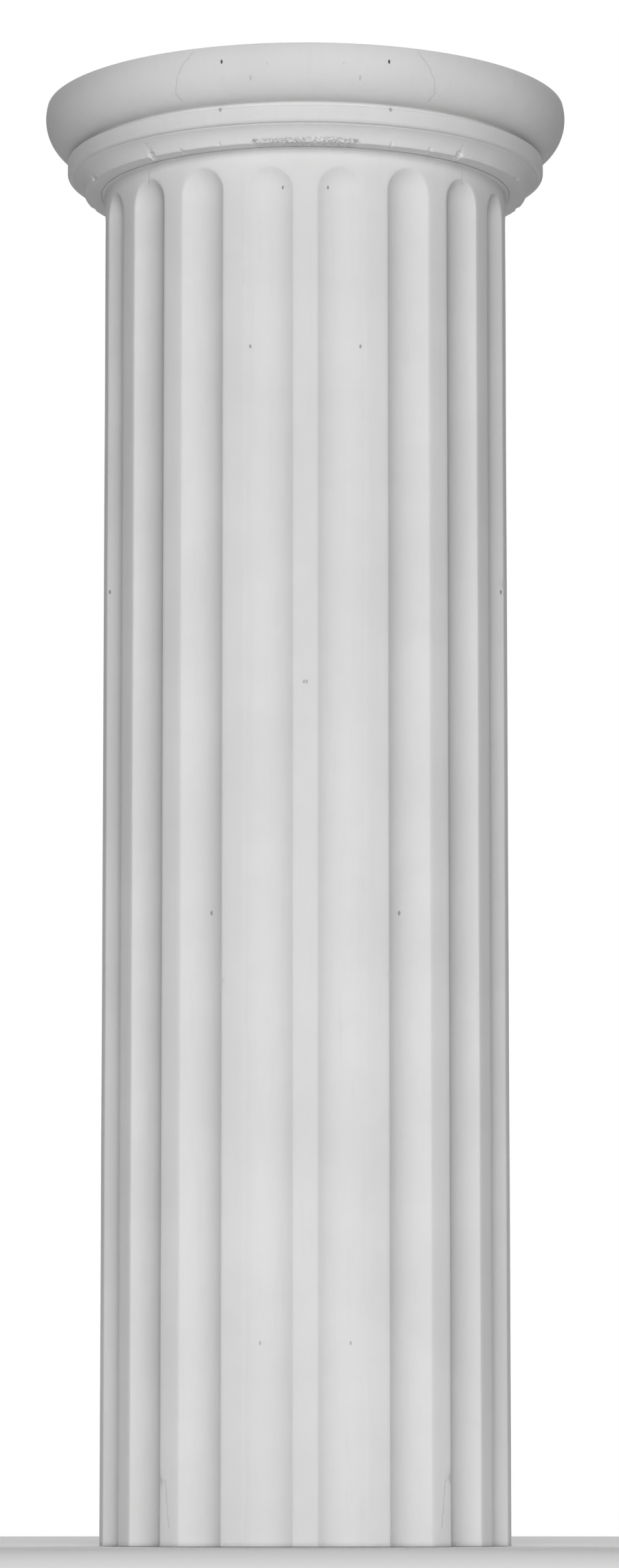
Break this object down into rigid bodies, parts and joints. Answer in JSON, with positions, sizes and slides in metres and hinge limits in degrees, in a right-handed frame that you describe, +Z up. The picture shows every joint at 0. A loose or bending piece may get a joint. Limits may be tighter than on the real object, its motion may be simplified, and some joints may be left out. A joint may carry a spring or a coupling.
{
  "type": "fluted column",
  "caption": "Short round fluted column with a torus-moulded capital and a foot cut off flat, to stand by its own weight.",
  "frame": {"origin": "centre of the shaft's flat underside, on the column's axis", "axes": "+Z up along the column's axis; -Y is the front seen in the picture, with a fillet and not a flute on it"},
  "size_m": [0.3858, 0.3858, 1.0618],
  "materials": {
    "shaft_plaster": "matt white cast plaster, hairlines and pinholes left as cast",
    "capital_plaster": "matt white cast plaster, with chipped arrises and fine cracks"
  },
  "bodies": {
    "root": {"shaft": "shaft_plaster", "capital": "capital_plaster"}
  },
  "joints": []
}
